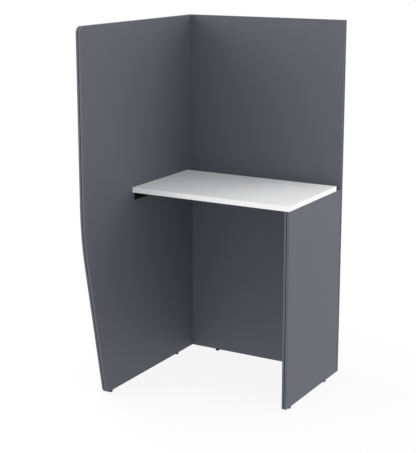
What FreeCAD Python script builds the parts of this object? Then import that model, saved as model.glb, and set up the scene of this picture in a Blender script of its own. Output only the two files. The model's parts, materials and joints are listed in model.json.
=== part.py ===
import FreeCAD, Part
import math
import os

# Standing work booth: a deep side panel on the left, a back panel, a short leg panel on the right
# and a desk top between them. Millimetres, +Z up. The origin is on the floor under the middle of
# the booth: X runs from the side panel to the leg panel, Y from the open front to the back panel.

# Booth
booth_width = 880.0
booth_depth = 1000.0
booth_height = 1800.0
base_depth = 850.0          # depth of the side panel at the floor, back panel included
bend_height = 820.0         # where the front edge starts to slope back
bend_radius = 1600.0
corner_radius = 30.0

# Panels, each two skins on a core that is set back all round
skin_thickness = 11.0
core_thickness = 3.0
groove_depth = 5.0
outer_arris = 1.5
groove_arris = 0.8
panel_thickness = 2 * skin_thickness + core_thickness

# Desk
desk_height = 995.0
desk_depth = 525.0
desk_thickness = 25.0
desk_band = 2.0
desk_arris = 1.0
cable_gap = 50.0            # between the desk and the back panel
desk_end_gap = 0.5          # between the desk and the side panel

# Support angles, bent from sheet
angle_leg = 40.0
angle_thickness = 3.0
angle_inner_radius = 1.5
angle_toe_radius = 3.0
angle_end_inset = 20.0      # from the desk's front and rear edges
angle_screw_inset = 30.0
angle_screw_count = 4
slot_travel = 6.0           # lets the desk move with the seasons

# Wood screws
screw_radius = 2.0
screw_head_radius = 4.0
screw_head_height = 2.4
screw_head_crown = 2.0      # radius of the flat on top of the head
screw_head_rim = 0.8        # height of the head's upright edge
screw_tip = 3.0
panel_screw_length = 13.0
desk_screw_length = 18.0
screw_play = 0.4
pilot_clearance = 0.05

# Corner bolts and the inserts that take them
bolt_radius = 3.0
bolt_play = 0.3
bolt_head_radius = 7.5
bolt_head_height = 2.4
bolt_head_edge = 0.8
bolt_head_recess = 3.0
bolt_head_play = 0.5
bolt_engagement = 18.0
socket_across_flats = 4.0
socket_depth = 1.6
corner_insert_radius = 5.0
corner_insert_length = 25.0
thread_clearance = 0.08
insert_clearance = 0.05
barb_depth = 0.6
barb_count = 3
corner_end_inset = 120.0
side_corner_bolts = 4
leg_corner_bolts = 3

# Dowels
dowel_radius = 4.0
dowel_in_edge = 24.0
dowel_in_face = 9.0
dowel_chamfer = 1.0
dowel_end_gap = 0.5
dowel_clearance = 0.05
desk_dowel_inset = 60.0
desk_dowel_count = 3

# Levelling feet
glide_radius = 10.5
glide_height = 3.0
glide_chamfer = 1.0
neck_radius = 4.0           # the glide's boss, which snaps into the head
neck_height = 1.4
lip_radius = 4.8
lip_height = 0.8
lip_slot = 1.2              # lets the lip spring in
foot_gap = 0.3              # between the glide, which stays still, and the head, which turns
head_radius = 11.5
head_web = 0.7              # between the boss and the stem's hexagon
head_edge = 0.8
head_room = 1.2             # between the head and the panel
flute_radius = 1.4
flute_depth = 0.6
flute_count = 12
stem_radius = 4.0
stem_length = 32.0          # above the head
stem_chamfer = 1.2
hex_across_flats = 13.0
hex_height = 2.6
head_height = neck_height + lip_height + head_web + hex_height
head_bottom = glide_height + foot_gap
head_top = head_bottom + head_height
foot_rise = head_top + head_room    # floor to the bottom edges of the panels
foot_insert_radius = 5.8
foot_insert_length = 20.0
foot_flange_radius = 8.5
foot_flange_height = 1.5
stem_end_room = 3.0
stem_side_room = 0.6

# Places of the feet
side_front_foot_inset = 50.0
side_rear_foot_inset = 150.0
leg_front_foot_inset = 50.0
leg_rear_foot_inset = 125.0
back_foot_inset = 175.0

# One overrun for every cut, and the distance within which two places are the same
overrun = 1.0
same_place = 0.001

# Main planes
side_outer_x = -booth_width / 2
side_inner_x = side_outer_x + panel_thickness
leg_outer_x = booth_width / 2
leg_inner_x = leg_outer_x - panel_thickness
back_rear_y = booth_depth / 2
back_front_y = back_rear_y - panel_thickness
desk_rear_y = back_front_y - cable_gap
desk_front_y = desk_rear_y - desk_depth
desk_under_z = desk_height - desk_thickness
leg_panel_depth = cable_gap + desk_depth
side_middle_x = (side_outer_x + side_inner_x) / 2
leg_middle_x = (leg_inner_x + leg_outer_x) / 2
back_middle_y = (back_front_y + back_rear_y) / 2

X = FreeCAD.Vector(1, 0, 0)
Y = FreeCAD.Vector(0, 1, 0)
Z = FreeCAD.Vector(0, 0, 1)


def spaced(first, last, count):
    """Evenly spaced places from first to last."""
    step = (last - first) / (count - 1)
    return [first + step * i for i in range(count)]


def between(places):
    """The place half way between each two neighbours."""
    return [(a + b) / 2 for a, b in zip(places, places[1:])]


def rounded_outline(corners):
    """Closed wire through (x, y, radius) corners, each rounded by a tangent arc."""
    points = [FreeCAD.Vector(x, y, 0) for x, y, _ in corners]
    ends = []
    edges = []
    for i, (_, _, radius) in enumerate(corners):
        here = points[i]
        back = (points[i - 1] - here).normalize()
        ahead = (points[(i + 1) % len(points)] - here).normalize()
        half_angle = back.getAngle(ahead) / 2
        reach = radius / math.tan(half_angle)
        start = here + back * reach
        end = here + ahead * reach
        if radius:
            inward = (back + ahead).normalize()
            middle = here + inward * (radius / math.sin(half_angle) - radius)
            edges.append(Part.Arc(start, middle, end).toShape())
        ends.append((start, end))
    for i, (_, end) in enumerate(ends):
        start = ends[(i + 1) % len(ends)][0]
        edges.append(Part.LineSegment(end, start).toShape())
    return Part.Wire(Part.__sortEdges__(edges))


def turned(profile, foot, axis):
    """Solid of revolution: (radius, height) profile about the line from foot along axis."""
    points = [FreeCAD.Vector(radius, 0, height) for radius, height in profile]
    face = Part.Face(Part.makePolygon(points + points[:1]))
    solid = face.revolve(FreeCAD.Vector(0, 0, 0), Z, 360)
    solid.Placement = FreeCAD.Placement(foot, FreeCAD.Rotation(Z, axis))
    return solid


def hexagon(across_flats, height, foot, axis):
    """Hexagonal prism from foot along axis."""
    radius = across_flats / 2 / math.cos(math.pi / 6)
    angles = [math.pi / 3 * i for i in range(6)]
    points = [FreeCAD.Vector(radius * math.cos(a), radius * math.sin(a), 0) for a in angles]
    prism = Part.Face(Part.makePolygon(points + points[:1])).extrude(Z * height)
    prism.Placement = FreeCAD.Placement(foot, FreeCAD.Rotation(Z, axis))
    return prism


def soften(solid, height, radius):
    """Round the edges that lie in the plane z = height of a panel lying flat."""
    edges = [edge for edge in solid.Edges
             if abs(edge.BoundBox.ZMin - height) < same_place
             and abs(edge.BoundBox.ZMax - height) < same_place]
    return solid.makeFillet(radius, edges)


def lay_up(outline, origin, across, up):
    """Near skin, far skin and core of a panel: its outline lies in the plane of across and up."""
    face = Part.Face(outline)
    far_start = skin_thickness + core_thickness
    near = face.extrude(Z * skin_thickness)
    near = soften(near, 0, outer_arris)
    near = soften(near, skin_thickness, groove_arris)
    far = face.copy()
    far.translate(Z * far_start)
    far = far.extrude(Z * skin_thickness)
    far = soften(far, far_start, groove_arris)
    far = soften(far, panel_thickness, outer_arris)
    core = face.makeOffset2D(-groove_depth)
    core.translate(Z * skin_thickness)
    core = core.extrude(Z * core_thickness)
    through = across.cross(up)
    matrix = FreeCAD.Matrix(across.x, up.x, through.x, origin.x,
                            across.y, up.y, through.y, origin.y,
                            across.z, up.z, through.z, origin.z,
                            0, 0, 0, 1)
    pieces = [near, far, core]
    for piece in pieces:
        piece.Placement = FreeCAD.Placement(matrix)
    return pieces


def drill(pieces, cutters):
    """Cut the same holes out of every piece of a panel."""
    tool = Part.makeCompound(cutters)
    return [piece.cut(tool) for piece in pieces]


def side_outline():
    """Outline of the side panel as (distance from its rear edge, height)."""
    top_depth = booth_depth - panel_thickness
    bottom_depth = base_depth - panel_thickness
    return rounded_outline([(0, foot_rise, 0),
                            (bottom_depth, foot_rise, corner_radius),
                            (top_depth, bend_height, bend_radius),
                            (top_depth, booth_height, corner_radius),
                            (0, booth_height, 0)])


def plain_outline(length, top):
    """Outline of a square-cornered panel as (distance, height)."""
    return rounded_outline([(0, foot_rise, 0), (length, foot_rise, 0), (length, top, 0), (0, top, 0)])


def support_angle(face_x, side):
    """Angle under the desk against the panel face at face_x; side is the way it reaches."""
    outer_radius = angle_inner_radius + angle_thickness
    toe = angle_leg
    inner = angle_thickness
    corners = [(0, 0, outer_radius), (side * toe, 0, 0), (side * toe, -inner, 0),
               (side * inner, -inner, angle_inner_radius), (side * inner, -toe, 0), (0, -toe, 0)]
    profile = rounded_outline(corners)
    front = desk_front_y + angle_end_inset
    length = desk_depth - 2 * angle_end_inset
    bar = Part.Face(profile).extrude(Z * length)
    bar.Placement = FreeCAD.Placement(FreeCAD.Vector(face_x, front + length, desk_under_z),
                                      FreeCAD.Rotation(X, 90))
    toes = [edge for edge in bar.Edges if is_toe(edge, face_x + side * toe)]
    bar = bar.makeFillet(angle_toe_radius, toes)
    holes = [screw_hole(FreeCAD.Vector(face_x, y, screw_line_z()), X * side)
             for y in panel_screw_places()]
    slots = [screw_slot(FreeCAD.Vector(face_x + side * desk_screw_line(), y, desk_under_z))
             for y in desk_screw_places()]
    return bar.cut(Part.makeCompound(holes + slots))


def is_toe(edge, toe_x):
    """True for the short edges at the free corners of a support angle's two legs."""
    box = edge.BoundBox
    short = abs(edge.Length - angle_thickness) < same_place
    at_side = abs(box.XMin - toe_x) < same_place and abs(box.XMax - toe_x) < same_place
    at_foot = abs(box.ZMax - (desk_under_z - angle_leg)) < same_place
    return short and (at_side or at_foot)


def panel_screw_places():
    """Where the screws into a panel stand along Y."""
    first = desk_front_y + angle_end_inset + angle_screw_inset
    last = desk_rear_y - angle_end_inset - angle_screw_inset
    return spaced(first, last, angle_screw_count)


def desk_screw_places():
    """Where the screws up into the desk stand along Y, between those into the panel."""
    return between(panel_screw_places())


def screw_line_z():
    """Height of the screws into a panel."""
    return desk_under_z - (angle_leg + angle_thickness) / 2


def desk_screw_line():
    """Distance of the screws into the desk from the panel's face."""
    return (angle_leg + angle_thickness) / 2


def screw_hole(centre, direction):
    """Round hole through an angle's leg for one screw."""
    start = centre - direction * overrun
    length = angle_thickness + 2 * overrun
    return Part.makeCylinder(screw_radius + screw_play, length, start, direction)


def screw_slot(centre):
    """Slot through an angle's upper leg, long along X."""
    radius = screw_radius + screw_play
    left = X * (-slot_travel / 2)
    right = X * (slot_travel / 2)
    side = Y * radius
    end = X * radius
    edges = [Part.LineSegment(left - side, right - side).toShape(),
             Part.Arc(right - side, right + end, right + side).toShape(),
             Part.LineSegment(right + side, left + side).toShape(),
             Part.Arc(left + side, left - end, left - side).toShape()]
    face = Part.Face(Part.Wire(edges))
    face.translate(centre + Z * overrun)
    return face.extrude(-Z * (angle_thickness + 2 * overrun))


def wood_screw(seat, direction, length):
    """Pan-head screw whose head rests on seat and whose point goes along direction."""
    profile = [(0, -screw_head_height), (screw_head_crown, -screw_head_height),
               (screw_head_radius, -screw_head_rim), (screw_head_radius, 0),
               (screw_radius, 0), (screw_radius, length - screw_tip), (0, length)]
    return turned(profile, seat, direction)


def pilot_hole(start, direction, depth):
    """Hole that a screw's shank fills."""
    return Part.makeCylinder(screw_radius + pilot_clearance, depth + overrun,
                             start - direction * overrun, direction)


def corner_bolt(x, z):
    """Bolt through the back panel at x and z, its head recessed in the rear face."""
    seat = FreeCAD.Vector(x, back_rear_y - bolt_head_recess, z)
    length = panel_thickness - bolt_head_recess + bolt_engagement
    profile = [(0, -bolt_head_height), (bolt_head_radius - bolt_head_edge, -bolt_head_height),
               (bolt_head_radius, -bolt_head_height + bolt_head_edge), (bolt_head_radius, 0),
               (bolt_radius, 0), (bolt_radius, length - bolt_head_edge),
               (bolt_radius - bolt_head_edge, length), (0, length)]
    bolt = turned(profile, seat, -Y)
    head_top = seat + Y * (bolt_head_height + overrun)
    socket = hexagon(socket_across_flats, socket_depth + overrun, head_top, -Y)
    return bolt.cut(socket)


def corner_bolt_hole(x, z):
    """Clearance hole and head recess in the back panel for one bolt."""
    rear = FreeCAD.Vector(x, back_rear_y + overrun, z)
    hole = Part.makeCylinder(bolt_radius + bolt_play, panel_thickness + 2 * overrun, rear, -Y)
    recess = Part.makeCylinder(bolt_head_radius + bolt_head_play, bolt_head_recess + overrun,
                               rear, -Y)
    return hole.fuse(recess)


def threaded_insert(foot, direction, radius, length, bore):
    """Barbed sleeve from foot along direction with a plain bore for a thread."""
    pitch = length / barb_count
    profile = [(bore, 0)]
    for i in range(barb_count):
        profile.append((radius, pitch * i))
        profile.append((radius - barb_depth, pitch * (i + 1)))
    profile.append((bore, length))
    return turned(profile, foot, direction)


def corner_insert(x, z):
    """Insert in a panel's rear edge for one corner bolt."""
    return threaded_insert(FreeCAD.Vector(x, back_front_y, z), -Y, corner_insert_radius,
                           corner_insert_length, bolt_radius + thread_clearance)


def corner_insert_hole(x, z):
    """Hole in a panel's rear edge for one insert."""
    start = FreeCAD.Vector(x, back_front_y + overrun, z)
    return Part.makeCylinder(corner_insert_radius + insert_clearance,
                             corner_insert_length + 2 * overrun, start, -Y)


def dowel(joint, into_edge):
    """Dowel across a joint: into_edge is the way into the panel's edge."""
    start = joint - into_edge * dowel_in_face
    length = dowel_in_face + dowel_in_edge
    profile = [(0, 0), (dowel_radius - dowel_chamfer, 0), (dowel_radius, dowel_chamfer),
               (dowel_radius, length - dowel_chamfer), (dowel_radius - dowel_chamfer, length),
               (0, length)]
    return turned(profile, start, into_edge)


def dowel_hole(joint, into_edge):
    """Hole for one dowel, in both pieces that it joins."""
    start = joint - into_edge * (dowel_in_face + dowel_end_gap)
    length = dowel_in_face + dowel_in_edge + 2 * dowel_end_gap
    return Part.makeCylinder(dowel_radius + dowel_clearance, length, start, into_edge)


def corner_bolt_heights(top, count):
    """Heights of a corner's bolts, from near the floor to near top."""
    return spaced(foot_rise + corner_end_inset, top - corner_end_inset, count)


def desk_dowel_places():
    """Joints of the dowels between the leg panel's top edge and the desk."""
    ys = spaced(desk_front_y + desk_dowel_inset, desk_rear_y - desk_dowel_inset, desk_dowel_count)
    return [FreeCAD.Vector(leg_middle_x, y, desk_under_z) for y in ys]


def foot_places():
    """Name and floor point of each levelling foot."""
    side_front_y = back_rear_y - base_depth + side_front_foot_inset
    side_rear_y = back_front_y - side_rear_foot_inset
    leg_front_y = back_front_y - leg_panel_depth + leg_front_foot_inset
    leg_rear_y = back_front_y - leg_rear_foot_inset
    return {"side_front": FreeCAD.Vector(side_middle_x, side_front_y, 0),
            "side_rear": FreeCAD.Vector(side_middle_x, side_rear_y, 0),
            "back_left": FreeCAD.Vector(side_outer_x + back_foot_inset, back_middle_y, 0),
            "back_right": FreeCAD.Vector(leg_outer_x - back_foot_inset, back_middle_y, 0),
            "leg_front": FreeCAD.Vector(leg_middle_x, leg_front_y, 0),
            "leg_rear": FreeCAD.Vector(leg_middle_x, leg_rear_y, 0)}


def glide(place):
    """Disc that stays still on the floor, with the slotted boss that the head turns on."""
    lip_bottom = glide_height + neck_height
    lip_top = lip_bottom + lip_height
    profile = [(0, 0), (glide_radius - glide_chamfer, 0), (glide_radius, glide_chamfer),
               (glide_radius, glide_height), (neck_radius, glide_height),
               (neck_radius, lip_bottom), (lip_radius, lip_bottom), (neck_radius, lip_top),
               (0, lip_top)]
    disc = turned(profile, place, Z)
    corner = place + FreeCAD.Vector(-glide_radius, -lip_slot / 2, glide_height)
    slot = Part.makeBox(2 * glide_radius, lip_slot, lip_top, corner)
    return disc.cut(slot)


def foot_head(place):
    """Fluted head that is turned by hand, moulded round the stem's hexagon."""
    mouth_top = glide_height + neck_height - foot_gap
    chamber_top = head_bottom + neck_height + lip_height
    mouth_radius = neck_radius + foot_gap
    chamber_radius = lip_radius + foot_gap
    profile = [(0, chamber_top), (chamber_radius, chamber_top), (chamber_radius, mouth_top),
               (mouth_radius, mouth_top), (mouth_radius, head_bottom),
               (head_radius - head_edge, head_bottom), (head_radius, head_bottom + head_edge),
               (head_radius, head_top - head_edge), (head_radius - head_edge, head_top),
               (0, head_top)]
    head = turned(profile, place, Z)
    pocket = place + Z * (head_top - hex_height)
    cutters = [hexagon(hex_across_flats, hex_height + overrun, pocket, Z)]
    centre_radius = head_radius + flute_radius - flute_depth
    for i in range(flute_count):
        angle = 2 * math.pi * i / flute_count
        out = FreeCAD.Vector(math.cos(angle), math.sin(angle), 0)
        start = place + out * centre_radius + Z * (head_bottom - overrun)
        cutters.append(Part.makeCylinder(flute_radius, head_height + 2 * overrun, start))
    return head.cut(Part.makeCompound(cutters))


def stem(place):
    """Threaded stem with the hexagon that the head is moulded round."""
    flange = hexagon(hex_across_flats, hex_height, place + Z * (head_top - hex_height), Z)
    profile = [(0, 0), (stem_radius, 0), (stem_radius, stem_length - stem_chamfer),
               (stem_radius - stem_chamfer, stem_length), (0, stem_length)]
    shank = turned(profile, place + Z * head_top, Z)
    return flange.fuse(shank).removeSplitter()


def foot_insert(place):
    """Flanged insert in a panel's bottom edge that a stem screws into."""
    foot = place + Z * foot_rise
    bore = stem_radius + thread_clearance
    flange = turned([(bore, 0), (foot_flange_radius, 0), (foot_flange_radius, foot_flange_height),
                     (bore, foot_flange_height)], foot, Z)
    sleeve = threaded_insert(foot + Z * foot_flange_height, Z, foot_insert_radius,
                             foot_insert_length - foot_flange_height, bore)
    return flange.fuse(sleeve).removeSplitter()


def foot_hole(place):
    """Hole in a panel's bottom edge: flange recess, sleeve and room for the stem."""
    foot = place + Z * (foot_rise - overrun)
    recess = Part.makeCylinder(foot_flange_radius + insert_clearance,
                               foot_flange_height + overrun, foot)
    sleeve = Part.makeCylinder(foot_insert_radius + insert_clearance,
                               foot_insert_length + overrun, foot)
    room_top = head_top + stem_length + stem_end_room
    room = Part.makeCylinder(stem_radius + stem_side_room, room_top - foot.z, foot)
    return recess.fuse([sleeve, room])


def desk():
    """Desk board and the edge band round it."""
    left = side_inner_x + desk_end_gap
    length = leg_outer_x - left
    whole = Part.makeBox(length, desk_depth, desk_thickness,
                         FreeCAD.Vector(left, desk_front_y, desk_under_z))
    board = Part.makeBox(length - 2 * desk_band, desk_depth - 2 * desk_band, desk_thickness,
                         FreeCAD.Vector(left + desk_band, desk_front_y + desk_band, desk_under_z))
    upright = [edge for edge in whole.Edges if abs(edge.Length - desk_thickness) < same_place]
    whole = whole.makeFillet(desk_band, upright)
    flat = [edge for edge in whole.Edges
            if abs(edge.BoundBox.ZMax - edge.BoundBox.ZMin) < same_place]
    return board, whole.makeFillet(desk_arris, flat).cut(board)


def build():
    """Every node's shape by name."""
    feet = foot_places()
    side_heights = corner_bolt_heights(booth_height, side_corner_bolts)
    leg_heights = corner_bolt_heights(desk_under_z, leg_corner_bolts)
    side_bolts = [(side_middle_x, z) for z in side_heights]
    leg_bolts = [(leg_middle_x, z) for z in leg_heights]
    side_dowels = [FreeCAD.Vector(side_middle_x, back_front_y, z) for z in between(side_heights)]
    leg_dowels = [FreeCAD.Vector(leg_middle_x, back_front_y, z) for z in between(leg_heights)]
    desk_dowels = desk_dowel_places()

    nodes = {}
    side = lay_up(side_outline(), FreeCAD.Vector(side_inner_x, back_front_y, 0), -Y, Z)
    cutters = [foot_hole(feet[name]) for name in ("side_front", "side_rear")]
    cutters += [corner_insert_hole(x, z) for x, z in side_bolts]
    cutters += [dowel_hole(joint, -Y) for joint in side_dowels]
    cutters += [pilot_hole(FreeCAD.Vector(side_inner_x, y, screw_line_z()), -X,
                           panel_screw_length - angle_thickness) for y in panel_screw_places()]
    names = ("side_panel_inner_skin", "side_panel_outer_skin", "side_panel_core")
    nodes.update(zip(names, drill(side, cutters)))

    back = lay_up(plain_outline(booth_width, booth_height),
                  FreeCAD.Vector(side_outer_x, back_rear_y, 0), X, Z)
    cutters = [foot_hole(feet[name]) for name in ("back_left", "back_right")]
    cutters += [corner_bolt_hole(x, z) for x, z in side_bolts + leg_bolts]
    cutters += [dowel_hole(joint, -Y) for joint in side_dowels + leg_dowels]
    names = ("back_panel_rear_skin", "back_panel_front_skin", "back_panel_core")
    nodes.update(zip(names, drill(back, cutters)))

    leg = lay_up(plain_outline(leg_panel_depth, desk_under_z),
                 FreeCAD.Vector(leg_outer_x, back_front_y, 0), -Y, Z)
    cutters = [foot_hole(feet[name]) for name in ("leg_front", "leg_rear")]
    cutters += [corner_insert_hole(x, z) for x, z in leg_bolts]
    cutters += [dowel_hole(joint, -Y) for joint in leg_dowels]
    cutters += [dowel_hole(joint, -Z) for joint in desk_dowels]
    cutters += [pilot_hole(FreeCAD.Vector(leg_inner_x, y, screw_line_z()), X,
                           panel_screw_length - angle_thickness) for y in panel_screw_places()]
    names = ("leg_panel_outer_skin", "leg_panel_inner_skin", "leg_panel_core")
    nodes.update(zip(names, drill(leg, cutters)))

    board, band = desk()
    cutters = [dowel_hole(joint, -Z) for joint in desk_dowels]
    for face_x, way in ((side_inner_x, 1), (leg_inner_x, -1)):
        cutters += [pilot_hole(FreeCAD.Vector(face_x + way * desk_screw_line(), y, desk_under_z), Z,
                               desk_screw_length - angle_thickness) for y in desk_screw_places()]
    nodes["desk_board"] = drill([board], cutters)[0]
    nodes["desk_edge_band"] = band

    for name, face_x, way in (("left", side_inner_x, 1), ("right", leg_inner_x, -1)):
        nodes[name + "_support_angle"] = support_angle(face_x, way)
        seat_x = face_x + way * angle_thickness
        nodes[name + "_angle_panel_screws"] = Part.makeCompound(
            [wood_screw(FreeCAD.Vector(seat_x, y, screw_line_z()), -X * way, panel_screw_length)
             for y in panel_screw_places()])
        line_x = face_x + way * desk_screw_line()
        nodes[name + "_angle_desk_screws"] = Part.makeCompound(
            [wood_screw(FreeCAD.Vector(line_x, y, desk_under_z - angle_thickness), Z,
                        desk_screw_length) for y in desk_screw_places()])

    for name, bolts, joints in (("left", side_bolts, side_dowels), ("right", leg_bolts, leg_dowels)):
        nodes[name + "_corner_bolts"] = Part.makeCompound([corner_bolt(x, z) for x, z in bolts])
        nodes[name + "_corner_inserts"] = Part.makeCompound([corner_insert(x, z) for x, z in bolts])
        nodes[name + "_corner_dowels"] = Part.makeCompound([dowel(joint, -Y) for joint in joints])
    nodes["desk_dowels"] = Part.makeCompound([dowel(joint, -Z) for joint in desk_dowels])

    nodes["foot_inserts"] = Part.makeCompound([foot_insert(place) for place in feet.values()])
    for name, place in feet.items():
        nodes[name + "_glide"] = glide(place)
        nodes[name + "_foot_head"] = foot_head(place)
        nodes[name + "_stem"] = stem(place)
    return nodes


os.makedirs("parts", exist_ok=True)
for node, shape in build().items():
    shape.exportStep("parts/" + node + ".step")
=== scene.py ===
"""Looks of the office booth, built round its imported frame.

Metres, +Z up. The origin is on the floor under the middle of the booth. +X runs from the side
panel to the leg panel, and +Y from the open front to the back panel.
"""

from __future__ import annotations

import json
import logging
import math
from collections.abc import Sequence
from dataclasses import dataclass, field, replace
from enum import Enum, IntEnum
from typing import Any

import bmesh
import bpy
from bmesh.types import BMEdge, BMesh, BMVert
from bpy.types import ID, Material, Node, NodeSocket, NodeTree, Object, World
from mathutils import Matrix, Vector

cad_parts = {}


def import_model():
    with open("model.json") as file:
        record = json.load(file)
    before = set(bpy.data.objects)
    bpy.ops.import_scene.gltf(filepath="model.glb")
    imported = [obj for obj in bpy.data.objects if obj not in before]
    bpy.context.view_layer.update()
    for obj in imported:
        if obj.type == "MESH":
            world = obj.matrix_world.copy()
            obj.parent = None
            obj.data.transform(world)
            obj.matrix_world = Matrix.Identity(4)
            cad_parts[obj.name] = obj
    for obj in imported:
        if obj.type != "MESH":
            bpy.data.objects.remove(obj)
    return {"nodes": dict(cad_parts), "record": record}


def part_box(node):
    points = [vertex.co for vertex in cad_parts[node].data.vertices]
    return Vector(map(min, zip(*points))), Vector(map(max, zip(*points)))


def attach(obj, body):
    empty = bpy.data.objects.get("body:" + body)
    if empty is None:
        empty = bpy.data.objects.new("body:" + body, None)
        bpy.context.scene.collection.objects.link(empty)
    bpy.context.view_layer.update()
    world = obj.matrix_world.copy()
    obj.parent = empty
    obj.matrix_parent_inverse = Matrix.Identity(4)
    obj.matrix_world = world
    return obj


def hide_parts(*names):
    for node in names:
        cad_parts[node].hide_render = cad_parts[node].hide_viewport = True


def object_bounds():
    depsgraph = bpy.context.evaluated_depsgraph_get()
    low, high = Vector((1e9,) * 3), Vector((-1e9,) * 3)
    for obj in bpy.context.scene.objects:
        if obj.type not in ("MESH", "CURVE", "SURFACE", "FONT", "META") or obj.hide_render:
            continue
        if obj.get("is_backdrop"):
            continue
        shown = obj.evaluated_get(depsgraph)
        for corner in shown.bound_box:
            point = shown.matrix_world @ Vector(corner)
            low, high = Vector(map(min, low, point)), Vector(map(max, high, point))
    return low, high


LinearColour = tuple[float, float, float, float]
Triple = tuple[float, float, float]
Pairs = tuple[tuple[float, float], ...]

MM = 0.001
FULL_TURN = 2 * math.pi
# Vertices closer together than this are one, in metres
MERGE_REACH = 0.001 * MM
# Degrees that a camera is raised from looking straight down to looking level
LEVEL = 90.0
# Emission at this strength shows its colour as it is written
PLAIN = 1.0

WHITE = "#ffffff"
# The black core's own colour, also painted on the skins' faces in the groove as painted shade
CORE_BLACK_AND_GROOVE_SHADE = "#131416"

# The sRGB curve
SRGB_TOE = 0.04045
SRGB_TOE_SLOPE = 12.92
SRGB_OFFSET = 0.055
SRGB_POWER = 2.4

# Noise in the finishes: its octaves, and how strong each is against the one before
GRAIN_OCTAVES = 3.0
GRAIN_FALLOFF = 0.55
PATCH_OCTAVES = 4.0
PATCH_FALLOFF = 0.6
# How softly the dimples of pressed melamine run into each other
DIMPLE_SMOOTHNESS = 0.6
# How far the grain moves the roughness either way, as a share
ROUGHNESS_SWING = 0.08

# Cross-sections: sides or flutes in a turn, and the depth of a flute as a share of the radius
HEXAGON_SIDES = 6
FLUTE_COUNT = 12
FLUTE_SHARE = 0.055
REED_COUNT = 18
REED_SHARE = 0.07
CROSS_ARMS = 4
CROSS_ARM_SHARE = 0.24

# Turns that a thread is spun beyond its rod's length, and how many of them lie below the rod.
# The cuts at the rod's ends take them away.
SPARE_TURNS = 3
LEAD_TURNS = 2

# Angle in degrees past which an edge of a turned piece stays sharp
TURNED_SHARP = 28.0

log = logging.getLogger("office_booth")


def linear(hex_colour: str) -> LinearColour:
    """Turn an sRGB hex colour to linear light.

    Args:
        hex_colour: colour such as "#63666e".

    Returns:
        Linear red, green and blue, and an alpha of 1.
    """
    shares = [int(hex_colour[i:i + 2], 16) / 255 for i in (1, 3, 5)]
    low = [c / SRGB_TOE_SLOPE for c in shares]
    high = [((c + SRGB_OFFSET) / (1 + SRGB_OFFSET)) ** SRGB_POWER for c in shares]
    red, green, blue = (a if c <= SRGB_TOE else b for c, a, b in zip(shares, low, high))
    return red, green, blue, 1.0


def add_node(
    tree: NodeTree,
    kind: str,
    settings: dict[str | int, Any] | None = None,
    links: dict[str | int, NodeSocket] | None = None,
) -> Node:
    """Add one node with its settings and links.

    Args:
        tree: tree that gets the node.
        kind: Blender's name of the node's kind.
        settings: values by the name of an attribute, or else by the name or number of an input.
        links: sockets by the name or number of the input that each feeds.

    Returns:
        The new node.
    """
    node = tree.nodes.new(kind)
    for key, value in (settings or {}).items():
        if isinstance(key, str) and hasattr(node, key):
            setattr(node, key, value)
        else:
            node.inputs[key].default_value = value
    for key, socket in (links or {}).items():
        tree.links.new(socket, node.inputs[key])
    return node


def empty_tree(owner: Material | World) -> NodeTree:
    """Give a material or world nodes of its own, and clear those that it starts with.

    Args:
        owner: the material or world.

    Returns:
        Its empty node tree.
    """
    owner.use_nodes = True
    owner.node_tree.nodes.clear()
    return owner.node_tree


def add_object(name: str, data: ID) -> Object:
    """Put a mesh, lamp or camera into the scene as an object at the origin.

    Args:
        name: the object's name.
        data: what the object shows.

    Returns:
        The new object.
    """
    placed = bpy.data.objects.new(name, data)
    bpy.context.scene.collection.objects.link(placed)
    return placed


class Axis(IntEnum):
    """The frame's axes, as places in a vector."""

    X = 0
    Y = 1
    Z = 2


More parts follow.
